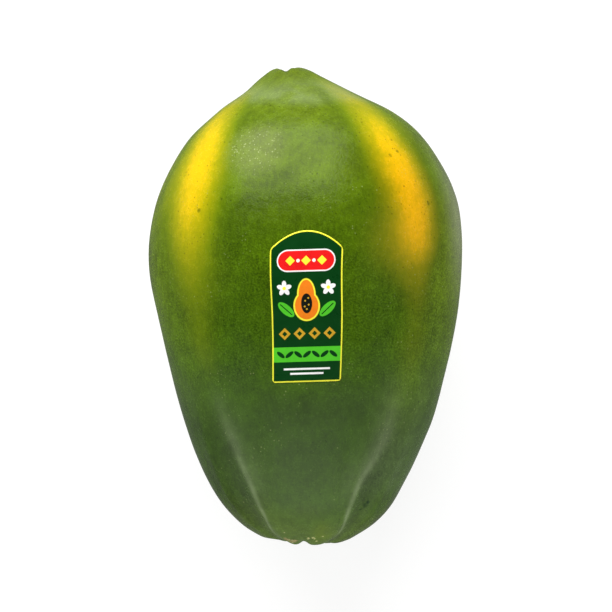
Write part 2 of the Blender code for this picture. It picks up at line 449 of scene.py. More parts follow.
def rim_dip(radius, turn):
    """How deep the stem end's rim is dented here, in metres, along the long axis."""
    degrees = np.degrees(turn)
    dip = sum(depth * bell(angle_between(degrees, at), width) for at, depth, width in RIM_DIPS)
    return dip * MM * bell(radius - RIM_BAND[0], RIM_BAND[1])


def upright_skin(run, turn):
    """Places on the skin before the fruit is laid down, with the long axis level at z = 0."""
    distance, radius = DISTANCE_AT.at(run), RADIUS_AT.at(run)
    radius = radius * section_share(distance, radius, turn)
    x, z = radius * np.sin(turn), radius * np.cos(turn) * DEPTH_TO_WIDTH
    y = distance - np.where(run > 0.5, tip_crease(x, z), -rim_dip(radius, turn))
    return np.stack([x + SWAY_AT.at(distance), y - LENGTH / 2, z], axis=-1)


def upright_normal(run, turn):
    step = 1e-4
    along = upright_skin(run + step, turn) - upright_skin(run - step, turn)
    around = upright_skin(run, turn + step) - upright_skin(run, turn - step)
    normal = np.cross(around, along)
    return normal / np.linalg.norm(normal, axis=-1, keepdims=True)


def run_at(distance):
    """The run at a distance from the stem end, on the fruit's side."""
    runs = np.linspace(0.1, 0.9, 801)
    return np.interp(distance, DISTANCE_AT.at(runs), runs)


def smooth_noise(places, size):
    """Smooth noise from -1 to 1 at each place, with lumps of about one size."""
    return np.array([noise.noise(Vector(place)) for place in places / size])


def dent_depth(places):
    """How deep the skin's fine unevenness is at each place. It fades towards the two ends."""
    depth = sum(depth * (0.5 + 0.5 * smooth_noise(places, size)) for depth, size in DENTS)
    return SKIN_INSET + depth * smoothstep(*DENT_FADE, np.hypot(places[:, 0], places[:, 2]))


def laid_down(places):
    """Turns upright places to the resting tilt."""
    return places @ np.array(Matrix.Rotation(REST_TILT, 3, "X")).T


def press_flat(heights):
    """Heights of the skin above the surface, with its lowest part made the small flat spot."""
    above = heights + FLAT_ROUNDING / 2
    rounded = np.maximum(above, 0) ** 2 / (2 * FLAT_ROUNDING)
    return np.where(above < FLAT_ROUNDING, rounded, heights)


def set_places(bm, places):
    for vert, place in zip(bm.verts, places):
        vert.co = place


def finish_piece(name, bm, attributes):
    """Makes a shaded object of a bmesh, with one number at each of its points for each attribute."""
    mesh = bpy.data.meshes.new(name)
    bm.to_mesh(mesh)
    bm.free()
    mesh.shade_smooth()
    for attribute, values in attributes.items():
        layer = mesh.attributes.new(attribute, "FLOAT", "POINT")
        layer.data.foreach_set("value", np.asarray(values, np.float32))
    piece = bpy.data.objects.new(name, mesh)
    bpy.context.scene.collection.objects.link(piece)
    return piece


def streak(rows, distance, turn):
    """How ripe one streak makes the skin here."""
    middle, half_width, ripeness = (by_distance(rows, column).at(distance) for column in (1, 2, 3))
    return np.maximum(ripeness, 0) * bell(angle_between(np.degrees(turn), middle), half_width)


def painted_shoulder_highlight(distance, turn, at, further, bend_start, bend_end, half_width, strength):
    """How strong a shoulder's painted highlight line is here: sharp towards its furrow, soft on its other
    side.
    """
    bend = smoothstep(bend_start * MM, bend_end * MM, distance)
    bend += LINE_END_BEND * (1 - smoothstep(*LINE_END_BEND_FADE, distance))
    offset = angle_between(np.degrees(turn), at + (further - at) * bend) * np.sign(half_width)
    width = np.abs(half_width) * (LINE_START_SHARE + distance / LINE_WIDENING)
    glow = LINE_GLOW_SHARE * smoothstep(*LINE_GLOW_RISE, distance)
    soft = (1 - glow) * bell(offset, LINE_CORE * width) + glow * bell(offset, LINE_GLOW_WIDTH)
    return strength * np.where(offset > 0, bell(offset, width), soft)


def painted_flank_light(distance, degrees):
    """How much painted side light and sheen lies on the flanks here, with the band beside the right
    shoulder's line.
    """
    start, full = FLANK_TURNS
    reach = RIGHT_FLANK_REACH * (1 - smoothstep(*RIGHT_FLANK_REACH_FADE, distance))
    start = np.where(degrees > 0, start - reach, start)
    flank_light = smoothstep(start, full, np.abs(degrees)) * smoothstep(*FLANK_RISE, distance)
    right_fade = 1 - smoothstep(*RIGHT_FLANK_FADE, distance)
    left_fade = LEFT_FLANK_SHARE * (1 - smoothstep(*LEFT_FLANK_FADE, distance))
    flank_light = flank_light * np.where(degrees > 0, right_fade, left_fade)
    band = RIGHT_BAND_SHARE * bell(degrees - RIGHT_BAND_TURN, RIGHT_BAND_WIDTH)
    band = band * smoothstep(*RIGHT_BAND_RISE, distance) * (1 - smoothstep(*RIGHT_BAND_FADE, distance))
    return flank_light + band


def painted_panel_shade(distance, degrees):
    """How much painted shade lies on the skin beyond the furrows here, near the stem end."""
    left = smoothstep(*LEFT_PANEL_TURNS, -degrees) * (1 - smoothstep(*LEFT_PANEL_FADE, distance))
    belt = smoothstep(*LEFT_BELT_TURNS, -degrees) * bell(distance - LEFT_BELT_PLACE, LEFT_BELT_WIDTH)
    right = smoothstep(*RIGHT_PANEL_TURNS, degrees) * (1 - smoothstep(*RIGHT_PANEL_FADE, distance))
    return left + LEFT_BELT_SHARE * belt + RIGHT_PANEL_SHARE * right


def skin_zones(distance, turn):
    """How strong each zone of the skin's colour is at these places, by name, but for the scar. The
    shoulder, flank light, panel, furrow and rim zones are painted light and shade.
    """
    degrees = np.degrees(turn)
    left, right = streak(LEFT_STREAK, distance, turn), streak(RIGHT_STREAK, distance, turn)
    hidden = sum(
        share * streak(LEFT_STREAK, distance, turn - math.radians(at - LEFT_STREAK_TURN))
        for at, share in HIDDEN_STREAKS
    )
    faint = sum(
        ripeness * bell(distance / MM - at, length) * bell(angle_between(degrees, middle), half_width)
        for at, length, middle, half_width, ripeness in FAINT_RIPENING
    )
    ripeness = np.maximum(np.maximum(left, right), hidden)
    from_furrow = np.min(np.abs(list(furrow_offsets(distance, turn))), axis=0)
    lines = sum(painted_shoulder_highlight(distance, turn, *line) for line in SHOULDER_HIGHLIGHT_LINES)
    strip = smoothstep(*RIM_STRIP_TURNS, degrees) * bell(distance - RIM_STRIP_PLACE, RIM_STRIP_LENGTH)
    return {
        "along": distance / LENGTH,
        "ripeness": ripeness + faint * (1 - ripeness),
        "warmth": right / (left + right + WARMTH_FLOOR) * (1 - smoothstep(*WARMTH_FADE, distance)),
        "furrow": bell(from_furrow, FURROW_SHADE_WIDTH) * (1 - smoothstep(*FURROW_SHADE_FADE, distance)),
        # painted highlights along the shoulder ridges
        "shoulder": lines * smoothstep(*LINE_RISE, distance) * (1 - smoothstep(*LINE_FADE, distance)),
        # painted side light and sheen on the flanks
        "flank_light": painted_flank_light(distance, degrees),
        # painted shade on the panels beyond the furrows
        "shaded_panel": painted_panel_shade(distance, degrees),
        # painted highlight on the right rim
        "rim_highlight": strip,
    }


def scar_relief(x, z, places):
    """How far the corky stem scar stands out along the long axis, towards the stem."""
    radius, angle = np.hypot(x, z), np.arctan2(x, z)
    inside = 1 - smoothstep(*SCAR_EDGE, radius)
    bundles = 1 - SCAR_BUNDLE_DIP + SCAR_BUNDLE_DIP * np.cos(SCAR_BUNDLES * angle)
    ring = SCAR_RING_HEIGHT * bell(radius - SCAR_RING_RADIUS, SCAR_RING_WIDTH) * bundles
    crumbs = SCAR_CRUMB_DEPTH * smooth_noise(places, SCAR_CRUMB_SIZE)
    return inside * (ring + crumbs)


def shift_into_box(places):
    """The shift that puts laid-down places in the middle of the fruit's solid, level with its top."""
    placed = laid_down(places)
    low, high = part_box("papaya")
    middle = (low + high) / 2
    return np.array([
        middle.x - (placed[:, 0].min() + placed[:, 0].max()) / 2,
        middle.y - (placed[:, 1].min() + placed[:, 1].max()) / 2,
        high.z - placed[:, 2].max(),
    ])


def make_fruit():
    """The fruit's fine skin, shaped from a sphere whose poles are the two ends. Returns its shift too."""
    bm = bmesh.new()
    bmesh.ops.create_uvsphere(bm, u_segments=SEGMENTS, v_segments=RINGS, radius=1.0)
    x, y, z = np.array([vert.co for vert in bm.verts]).T
    even = 1 - np.arccos(np.clip(z, -1, 1)) / math.pi
    run = even - END_CROWDING * np.sin(math.tau * even) / math.tau
    turn = np.arctan2(y, x)
    distance = DISTANCE_AT.at(run)
    stem_end = run < STEM_END_RUN
    places = upright_skin(run, turn)
    shift = shift_into_box(places)
    set_places(bm, places)
    bm.normal_update()
    normals = np.array([vert.normal for vert in bm.verts])
    scar_x = places[:, 0] - SWAY_AT.at(distance)
    relief = np.where(stem_end, scar_relief(scar_x, places[:, 2], places), 0)
    places = places - normals * dent_depth(places)[:, None]
    places[:, 1] -= relief
    placed = laid_down(places) + shift
    placed[:, 2] = press_flat(placed[:, 2])
    set_places(bm, placed)
    zones = skin_zones(distance, turn)
    zones["scar"] = (1 - smoothstep(*SCAR_COLOUR_EDGE, np.hypot(scar_x, places[:, 2]))) * stem_end
    return finish_piece("papaya_fruit", bm, zones), shift


def corner_cut(inwards):
    """How much a rounded corner takes off the edge at a distance inwards from the label's side."""
    into_corner = np.maximum(0, LABEL_CORNER - inwards)
    return LABEL_CORNER - np.sqrt(np.maximum(0, LABEL_CORNER**2 - into_corner**2))


def make_label(shift):
    """The label as a thin sheet that follows the skin, with a map for its print."""
    bm = bmesh.new()
    bmesh.ops.create_grid(bm, x_segments=LABEL_COLUMNS, y_segments=LABEL_ROWS, size=1.0)
    x, y, _ = np.array([vert.co for vert in bm.verts]).T
    side, share_up = np.sin(x * math.pi / 2), (y + 1) / 2
    half_width = (LABEL_LOWER_WIDTH + (LABEL_UPPER_WIDTH - LABEL_LOWER_WIDTH) * share_up) / 2
    cut = corner_cut(half_width * (1 - np.abs(side)))
    low, high = cut, LABEL_SIDE + LABEL_ARCH * (1 - side**2) - cut
    up = low + (high - low) * share_up
    across = side * half_width
    run = run_at(LABEL_FROM_STEM_END + up + LABEL_SLANT * side)
    off_middle = LABEL_OFF_LOWER + (LABEL_OFF_UPPER - LABEL_OFF_LOWER) * share_up
    turn = (across + off_middle) / RADIUS_AT.at(run)
    places = upright_skin(run, turn)
    places = places + upright_normal(run, turn) * (LABEL_LIFT - dent_depth(places))[:, None]
    set_places(bm, laid_down(places) + shift)
    bmesh.ops.recalc_face_normals(bm, faces=bm.faces)
    print_map = bm.loops.layers.uv.new("print")
    for face in bm.faces:
        for loop in face.loops:
            at = loop.vert.index
            loop[print_map].uv = across[at] / LABEL_UPPER_WIDTH + 0.5, up[at] / (LABEL_SIDE + LABEL_ARCH)
    slope = 2 * LABEL_ARCH * np.abs(side) / half_width
    from_top = (LABEL_SIDE + LABEL_ARCH * (1 - side**2) - up) / np.hypot(1, slope)
    inset = np.minimum(np.minimum(half_width - np.abs(across), up), from_top)
    piece = finish_piece("fruit_label", bm, {"inset": inset / MM})
    solid = piece.modifiers.new("thickness", "SOLIDIFY")
    solid.thickness = LABEL_THICKNESS
    solid.offset = 1.0
    return piece


class Graph:
    """A material's or a group's nodes, each added with what feeds it."""

    def __init__(self, tree):
        self.tree = tree

    def add(self, kind, inputs, **settings):
        """Adds a node. What feeds an input is another node's output, or a value for the socket."""
        node = self.tree.nodes.new("ShaderNode" + kind)
        for name, value in settings.items():
            setattr(node, name, value)
        self.feed(node, inputs)
        return node

    def feed(self, node, inputs):
        for socket, value in inputs.items():
            if isinstance(value, bpy.types.NodeSocket):
                self.tree.links.new(value, node.inputs[socket])
            else:
                node.inputs[socket].default_value = value

    def math(self, operation, *values):
        return self.add("Math", dict(enumerate(values)), operation=operation).outputs[0]

    def vector(self, operation, *values):
        node = self.add("VectorMath", dict(enumerate(values)), operation=operation)
        return node.outputs["Value" if operation == "LENGTH" else "Vector"]

    def scaled(self, colour, share):
        """A colour or a place multiplied by a number."""
        return self.add("VectorMath", {"Vector": colour, "Scale": share}, operation="SCALE").outputs[0]

    def total(self, first, *others):
        for other in others:
            first = self.math("ADD", first, other)
        return first

    def spread(self, value, low, high, to_low=0.0, to_high=1.0):
        """Eases from one value to another while the number goes from low to high."""
        ends = {"Value": value, "From Min": low, "From Max": high, "To Min": to_low, "To Max": to_high}
        return self.add("MapRange", ends, interpolation_type="SMOOTHSTEP").outputs[0]

    def between(self, pattern, low, high):
        """A pattern from 0 to 1 as a number between two others."""
        return self.spread(pattern, 0, 1, low, high)

    def mix(self, share, ground, colour, blend="MIX"):
        node = self.add("Mix", {0: share, 6: ground, 7: colour}, data_type="RGBA", blend_type=blend)
        return node.outputs[2]

    def tinted(self, colour, tint):
        """A colour multiplied by another."""
        return self.mix(1.0, colour, tint, blend="MULTIPLY")

    def ramp(self, value, stops):
        """A colour read from stops of position and colour."""
        node = self.add("ValToRGB", {"Fac": value})
        elements = node.color_ramp.elements
        while len(elements) < len(stops):
            elements.new(0.5)
        for element, (position, colour) in zip(elements, stops):
            element.position = position
            element.color = *colour, 1
        return node.outputs["Color"]

    def attribute(self, name):
        return self.add("Attribute", {}, attribute_name=name).outputs["Fac"]

    def group(self, tree, inputs):
        return self.add("Group", inputs, node_tree=tree).outputs[0]


def solid(red, green, blue):
    """A plain colour as a socket takes it."""
    return red, green, blue, 1


def new_group(name, inputs, output):
    """A node group with named inputs and one output. Gives its graph, its inputs and how to end it."""
    tree = bpy.data.node_groups.new(name, "ShaderNodeTree")
    for socket, kind in inputs.items():
        tree.interface.new_socket(name=socket, in_out="INPUT", socket_type="NodeSocket" + kind)
    tree.interface.new_socket(name=output, in_out="OUTPUT", socket_type="NodeSocketFloat")
    given = tree.nodes.new("NodeGroupInput").outputs
    ending = tree.nodes.new("NodeGroupOutput")

    def end(value):
        tree.links.new(value, ending.inputs[output])
        return tree

    return Graph(tree), given, end


# Where plain noise counts as fully clear and fully cloudy
NOISE_ENDS = 0.28, 0.72

# Sizes of speckles as shares of their radius, and the soft edges of speckles, spots, ovals and bars: the
# last in mm, the others as shares of the radius
SPECKLE_SIZES = 0.5, 1.3
SPECKLE_EDGE, SPOT_EDGE, OVAL_EDGE, BAR_EDGE = (0.35, 1.15), (0.45, 1.25), (0.97, 1.03), (0.0, 0.1)


def cloudiness_group():
    """Soft uneven patches of one size, from 0 to 1."""
    graph, given, end = new_group("cloudiness", {"Place": "Vector", "Patch Size": "Float"}, "Cloud")
    place = graph.scaled(given["Place"], graph.math("DIVIDE", 1.0, given["Patch Size"]))
    noise_in = {"Vector": place, "Scale": 1.0, "Detail": 3.0, "Roughness": 0.55}
    cloud = graph.add("TexNoise", noise_in).outputs["Fac"]
    return end(graph.spread(cloud, *NOISE_ENDS))


def speckle_group():
    """Round dots of uneven size, one in some of the cells that fill the skin."""
    inputs = {"Place": "Vector", "Spacing": "Float", "Radius": "Float", "Share": "Float"}
    graph, given, end = new_group("speckles", inputs, "Speckles")
    place = graph.scaled(given["Place"], graph.math("DIVIDE", 1.0, given["Spacing"]))
    cells = graph.add("TexVoronoi", {"Vector": place, "Scale": 1.0})
    luck = graph.add("SeparateColor", {"Color": cells.outputs["Color"]})
    radius = graph.math("MULTIPLY", given["Radius"], graph.between(luck.outputs["Green"], *SPECKLE_SIZES))
    away = graph.math("DIVIDE", graph.math("MULTIPLY", cells.outputs["Distance"], given["Spacing"]), radius)
    dot = graph.spread(away, *SPECKLE_EDGE, 1, 0)
    chosen = graph.math("LESS_THAN", luck.outputs["Red"], given["Share"])
    return end(graph.math("MULTIPLY", dot, chosen))


def spot_group():
    """One soft round spot."""
    inputs = {"Place": "Vector", "Centre": "Vector", "Radius": "Float"}
    graph, given, end = new_group("spot", inputs, "Spot")
    away = graph.vector("LENGTH", graph.vector("SUBTRACT", given["Place"], given["Centre"]))
    return end(graph.spread(graph.math("DIVIDE", away, given["Radius"]), *SPOT_EDGE, 1, 0))


def oval_group():
    """An oval of the print, turned about its centre."""
    inputs = {"Place": "Vector", "Centre": "Vector", "Radii": "Vector", "Turn": "Float"}
    graph, given, end = new_group("printed_oval", inputs, "Oval")
    offset = graph.vector("SUBTRACT", given["Place"], given["Centre"])
    turned = graph.add("VectorRotate", {"Vector": offset, "Angle": given["Turn"]}, rotation_type="Z_AXIS")
    away = graph.vector("LENGTH", graph.vector("DIVIDE", turned.outputs[0], given["Radii"]))
    return end(graph.spread(away, *OVAL_EDGE, 1, 0))


def bar_group():
    """A bar of the print with rounded ends, turned about its centre."""
    inputs = {"Place": "Vector", "Centre": "Vector", "Half Size": "Vector"}
    inputs |= {"Rounding": "Float", "Turn": "Float"}
    graph, given, end = new_group("printed_bar", inputs, "Bar")
    offset = graph.vector("SUBTRACT", given["Place"], given["Centre"])
    turned = graph.add("VectorRotate", {"Vector": offset, "Angle": given["Turn"]}, rotation_type="Z_AXIS")
    beyond = graph.vector("SUBTRACT", graph.vector("ABSOLUTE", turned.outputs[0]), given["Half Size"])
    rounding = graph.add("CombineXYZ", {"X": given["Rounding"], "Y": given["Rounding"]}).outputs[0]
    beyond = graph.vector("MAXIMUM", graph.vector("ADD", beyond, rounding), (0.0, 0.0, 0.0))
    away = graph.math("SUBTRACT", graph.vector("LENGTH", beyond), given["Rounding"])
    return end(graph.spread(away, *BAR_EDGE, 1, 0))


CLOUDINESS = cloudiness_group()
SPECKLES = speckle_group()
SPOT = spot_group()
OVAL = oval_group()
BAR = bar_group()


def new_material(name):
    """A material and the graph of its nodes, with the shader among them."""
    material = bpy.data.materials.new(name)
    material.use_nodes = True
    return material, Graph(material.node_tree), material.node_tree.nodes["Principled BSDF"]


# The green of the skin, from the stem end to the blossom end
GREENS = [
    (0.00, (0.084, 0.148, 0.0120)),
    (0.03, (0.080, 0.142, 0.0110)),
    (0.10, (0.052, 0.110, 0.0090)),
    (0.24, (0.031, 0.074, 0.0030)),
    (0.38, (0.039, 0.093, 0.0012)),
    (0.52, (0.053, 0.112, 0.0008)),
    (0.64, (0.060, 0.117, 0.0008)),
    (0.72, (0.068, 0.123, 0.0008)),
    (0.80, (0.096, 0.156, 0.0023)),
    (0.88, (0.090, 0.146, 0.0030)),
    (0.95, (0.104, 0.158, 0.0030)),
    (1.00, (0.086, 0.130, 0.0023)),
]

# The colour of the skin as it ripens
RIPENING = [
    (0.05, (0.075, 0.132, 0.0008)),
    (0.22, (0.135, 0.192, 0.0008)),
    (0.42, (0.248, 0.263, 0.0008)),
    (0.62, (0.391, 0.338, 0.0008)),
    (0.82, (0.575, 0.410, 0.0008)),
    (1.00, (0.700, 0.460, 0.0008)),
]

# How much grey bloom lies on the skin, from the stem end to the blossom end
BLOOM = [(0.0, 0.09), (0.12, 0.08), (0.3, 0.05), (0.45, 0.0)]

# A ring of grey bloom round the blossom end's neck, partly painted reflection of the blossom-side softbox:
# share, share left at the tip, where along the fruit it rises and fades, as shares of the length, and how
# far it wavers
NECK_BLOOM_AND_REFLECTION, TIP_BLOOM_AND_REFLECTION = 0.17, 0.03
NECK_RISE, NECK_FADE, NECK_WAVER = (0.914, 0.943), (0.945, 0.980), 0.012

# Other colours of the skin. A tint is multiplied with the colour that it lies on.
# painted side light and sheen, which lightens and greys the flanks
FLANK_LIGHT_TINT = 1.8, 1.42, 5.0
WARM_TINT = 1.0, 0.80, 0.8
PORE_TINT = 0.38, 0.38, 0.34
BRUISE_TINT = 0.28, 0.36, 0.5
# the paler patch's green, partly painted highlight
PATCH_GREEN_AND_SHEEN = 0.30, 0.36, 0.10
DOT_GREEN = 0.36, 0.42, 0.16
# grey of the wax bloom, and of the painted reflection round the neck
BLOOM_AND_REFLECTION_GREY = 0.33, 0.39, 0.27
# painted highlight on the right rim
RIM_HIGHLIGHT_GREY = 0.50, 0.53, 0.40
# painted highlight along the shoulder ridges
SHOULDER_HIGHLIGHT_GREY = 0.40, 0.48, 0.27
# cream of the painted highlights on the rim's folds
GLINT_CREAM = 0.62, 0.62, 0.26
CORK_BROWNS = [(0.1, (0.20, 0.15, 0.055)), (0.5, (0.34, 0.28, 0.11)), (0.95, (0.52, 0.50, 0.24))]

# Sizes of the skin's patterns in mm. The fibres are stretched along the fruit.
BROAD, PATCHY, MOTTLED, FIBRES, GRAIN, CRUMBS = 26.0, 9.0, 3.2, 1.5, 0.8, 1.1
FIBRE_STRETCH = 1.0, 0.22, 1.0
WAVER = 0.025  # how far colours waver along the fruit, as a share of its length

# How far the patterns change the light of the green, either way
BROAD_LIGHT, PATCHY_LIGHT, MOTTLED_LIGHT, FIBRE_LIGHT = 0.10, 0.10, 0.05, 0.08

# The factor that the patterns put on the ripeness: from the mottling, and what fibres and patches add
RIPE_MOTTLING, RIPE_FIBRES, RIPE_PATCHES = (0.93, 1.03), (-0.04, 0.05), (-0.05, 0.04)
RIPE_GRAIN = 0.97, 1.03  # light of the ripe skin

# Pores and pale dots: spacing and radius in mm, share of the places that have one
PORES, LARGE_PORES = (1.5, 0.36, 0.55), (5.5, 0.55, 0.30)
PALE_DOTS, CROWDED_DOTS = (1.6, 0.34, 0.45), (1.3, 0.36, 0.70)

# Clouds that break marks up: size in mm, where they count as clear and as full, share of the mark left
# by each
PORE_CLOUDS = 18.0, 0.1, 0.9, 0.10, 0.95
DOT_CLOUDS = 14.0, 0.45, 0.95, 0.0, 0.4
NECK_CLOUDS = 12.0, 0.05, 0.75, 0.45, 1.1
BRUISE_CLOUDS = 2.0, 0.0, 0.8, 0.45, 0.90
CORK_CLOUDS = 1.6, 0.05, 0.6, 0.35, 1.0
GLINT_CLOUDS = 0.9, 0.2, 0.8, 0.15, 0.95

# How strongly each of these shows where its mask is full
LARGE_PORE_SHARE, PATCH_SHARE, CROWDED_SHARE, RIM_HIGHLIGHT_SHARE = 0.8, 0.22, 0.85, 0.30
# the share of the painted shoulder highlights
LINE_SHARE = 0.30, 0.46  # the pale lines, from clear to cloudy patches
PANEL_BLOOM = -0.5  # change of the bloom on the panels

# How deeply the grain changes the light, and how much more it does in a stretch, as shares of the length
GRAIN_DEPTH, EXTRA_GRAIN_DEPTH = 0.24, 0.48
GRAIN_RISE, GRAIN_FADE = (0.26, 0.40), (0.58, 0.72)

# How far the painted shade in the furrows and on the panels darkens the green
FURROW_SHADE, PANEL_SHADE = -0.34, -0.16

TURNING = 0.04, 0.24  # ripeness over which green turns yellow
SKIN_ROUGHNESS, GRAIN_ROUGHNESS, CORK_ROUGHNESS = (0.21, 0.27), 0.02, 0.4
SKIN_SPECULAR = 0.125

# Bump in mm
GRAIN_BUMP, MOTTLE_BUMP, PORE_BUMP, CORK_BUMP = 0.025, 0.04, -0.05, 0.25


class SkinGraph(Graph):
    """The nodes of the papaya's skin, with patterns that lie in the upright fruit's frame, in mm."""

    def __init__(self, tree, shift):
        super().__init__(tree)
        upright = Matrix.Rotation(-REST_TILT, 3, "X")
        self.place = self.add("Mapping", {
            "Vector": self.add("TexCoord", {}).outputs["Object"],
            "Scale": (MM_PER_METRE, MM_PER_METRE, MM_PER_METRE),
            "Rotation": (-REST_TILT, 0, 0),
            "Location": -(upright @ Vector(shift)) * MM_PER_METRE,
        }).outputs[0]
        self.broad = self.clouds(BROAD)
        self.patchy = self.clouds(PATCHY)
        self.mottled = self.clouds(MOTTLED)
        self.fibres = self.clouds(FIBRES, self.vector("MULTIPLY", self.place, FIBRE_STRETCH))
        self.grain = self.clouds(GRAIN)
        self.along, self.shaded_panel = self.attribute("along"), self.attribute("shaded_panel")
        # the way along the fruit, wavering so that no colour ends in a ring
        start = self.math("ADD", self.along, -WAVER)
        self.wander = self.math("MULTIPLY_ADD", self.broad, 2 * WAVER, start)

    def clouds(self, size, where=None):
        """Soft uneven patches of one size."""
        place = self.place if where is None else where
        return self.group(CLOUDINESS, {"Place": place, "Patch Size": size})

    def swing(self, pattern, reach):
        """A pattern from 0 to 1 as a number that goes as far below 0 as above it."""
        return self.between(pattern, -reach, reach)

    def broken_up(self, mask, size, clear, full, least, most):
        """A mask that clouds weaken: to one share where they are clear, to another where they are full."""
        return self.math("MULTIPLY", mask, self.spread(self.clouds(size), clear, full, least, most))

    def speckles(self, spacing, radius, share):
        """Round dots of uneven size in a share of their places."""
        inputs = {"Place": self.place, "Spacing": spacing, "Radius": radius, "Share": share}
        return self.group(SPECKLES, inputs)

    def spots(self, marks):
        """A mask of all the marks of one kind, each given by run, turn and radius."""
        mask = 0.0
        for run, degrees, radius in marks:
            centre = upright_skin(np.array(run), np.array(math.radians(degrees))) / MM
            spot = self.group(SPOT, {"Place": self.place, "Centre": tuple(centre), "Radius": radius})
            mask = self.math("MAXIMUM", mask, spot)
        return mask

    def pores(self):
        """Dark pores, thicker in some patches, and a few large ones."""
        fine = self.broken_up(self.speckles(*PORES), *PORE_CLOUDS)
        large = self.math("MULTIPLY", self.speckles(*LARGE_PORES), LARGE_PORE_SHARE)
        return self.math("MAXIMUM", fine, large)

    def cork(self):
        """The stem scar and the nibs on its rim."""
        mask = self.math("MAXIMUM", self.attribute("scar"), self.spots(CORKY_NIBS))
        return self.broken_up(mask, *CORK_CLOUDS)

    def green_ground(self):
        """Uneven green: patches, fibres and fine grain, with painted shade in the furrows and on the
        panels, painted side light and sheen on the flanks, and darker and lighter patches that are partly
        the skin's tone and partly painted sheen and shade.
        """
        grain_start = self.spread(self.along, *GRAIN_RISE)
        grain_end = self.spread(self.along, *GRAIN_FADE, EXTRA_GRAIN_DEPTH, 0.0)
        grain_depth = self.math("MULTIPLY_ADD", grain_start, grain_end, GRAIN_DEPTH)
        light = self.total(
            self.swing(self.broad, BROAD_LIGHT),
            self.swing(self.patchy, PATCHY_LIGHT),
            self.swing(self.mottled, MOTTLED_LIGHT),
            self.swing(self.fibres, FIBRE_LIGHT),
            self.math("MULTIPLY_ADD", self.grain, grain_depth, 1.0),
        )
        light = self.math("MULTIPLY_ADD", grain_depth, -0.5, light)  # takes the grain's mean off again
        light = self.math("MULTIPLY_ADD", self.attribute("furrow"), FURROW_SHADE, light)
        # painted shade on the panels beyond the furrows
        light = self.math("MULTIPLY_ADD", self.shaded_panel, PANEL_SHADE, light)
        # darker and lighter patches: partly the skin's tone, partly painted sheen and shade
        for *mark, change in TONE_AND_SHEEN_PATCHES:
            light = self.math("MULTIPLY_ADD", self.spots([mark]), change, light)
        green = self.scaled(self.ramp(self.wander, GREENS), light)
        # painted side light and sheen: the flanks made lighter and greyer
        return self.mix(self.attribute("flank_light"), green, self.tinted(green, solid(*FLANK_LIGHT_TINT)))

    def ripened(self, colour):
        """Yellow and orange streaks, with the change of colour broken up by patches and fibres."""
        uneven = self.total(
            self.between(self.mottled, *RIPE_MOTTLING),
            self.between(self.fibres, *RIPE_FIBRES),
            self.between(self.patchy, *RIPE_PATCHES),
        )
        ripeness = self.math("MULTIPLY", self.attribute("ripeness"), uneven)
        warm = self.mix(self.attribute("warmth"), solid(1, 1, 1), solid(*WARM_TINT))
        ripe = self.tinted(self.ramp(ripeness, RIPENING), warm)
        ripe = self.scaled(ripe, self.between(self.grain, *RIPE_GRAIN))
        return self.mix(self.spread(ripeness, *TURNING), colour, ripe)

    def dotted(self, colour):
        """Fine pale dots, in scattered patches and crowded in the paler one, whose paleness is partly
        painted highlight.
        """
        patch = self.spots([PALE_PATCH])
        colour = self.mix(self.math("MULTIPLY", patch, PATCH_SHARE), colour, solid(*PATCH_GREEN_AND_SHEEN))
        scattered = self.broken_up(self.speckles(*PALE_DOTS), *DOT_CLOUDS)
        crowded = self.math("MULTIPLY", self.speckles(*CROWDED_DOTS), patch)
        dots = self.math("MAXIMUM", scattered, self.math("MULTIPLY", crowded, CROWDED_SHARE))
        return self.mix(dots, colour, solid(*DOT_GREEN))

    def bloomed_and_highlighted(self, colour):
        """Greyish wax bloom at the stem end and round the blossom end's neck, where it is partly painted
        reflection, with a painted highlight on the right rim and painted highlights along the shoulder
        ridges.
        """
        bloom = self.ramp(self.wander, [(position, (share,) * 3) for position, share in BLOOM])
        bloom = self.math("MULTIPLY", bloom, self.math("MULTIPLY_ADD", self.shaded_panel, PANEL_BLOOM, 1.0))
        # the ring round the neck: grey bloom, partly painted reflection
        place = self.math("MULTIPLY_ADD", self.swing(self.broad, 0.5), NECK_WAVER, self.along)
        neck_end = self.spread(place, *NECK_FADE, NECK_BLOOM_AND_REFLECTION, TIP_BLOOM_AND_REFLECTION)
        neck = self.math("MULTIPLY", self.spread(place, *NECK_RISE), neck_end)
        neck = self.broken_up(neck, *NECK_CLOUDS)
        colour = self.mix(self.math("MAXIMUM", bloom, neck), colour, solid(*BLOOM_AND_REFLECTION_GREY))
        # painted highlight on the right rim
        strip = self.math("MULTIPLY", self.attribute("rim_highlight"), RIM_HIGHLIGHT_SHARE)
        colour = self.mix(strip, colour, solid(*RIM_HIGHLIGHT_GREY))
        # painted highlights along the shoulder ridges
        line_share = self.between(self.patchy, *LINE_SHARE)
        lines = self.math("MULTIPLY", self.attribute("shoulder"), line_share)
        return self.mix(lines, colour, solid(*SHOULDER_HIGHLIGHT_GREY))

    def marked(self, colour, cork):
        """Bruised dots, the corky parts, and painted highlights on the folds of the stem end's rim."""
        bruises = self.broken_up(self.spots(DARK_DOTS), *BRUISE_CLOUDS)
        colour = self.mix(bruises, colour, self.tinted(colour, solid(*BRUISE_TINT)))
        colour = self.mix(cork, colour, self.ramp(self.clouds(CRUMBS), CORK_BROWNS))
        # painted highlights on the folds of the stem end's rim
        nibs = self.broken_up(self.spots(PALE_RIM_GLINTS), *GLINT_CLOUDS)
        return self.mix(nibs, colour, solid(*GLINT_CREAM))

    def roughness(self, cork):
        grain = self.swing(self.grain, GRAIN_ROUGHNESS)
        skin = self.math("ADD", self.between(self.mottled, *SKIN_ROUGHNESS), grain)
        return self.math("MULTIPLY_ADD", cork, CORK_ROUGHNESS, skin)

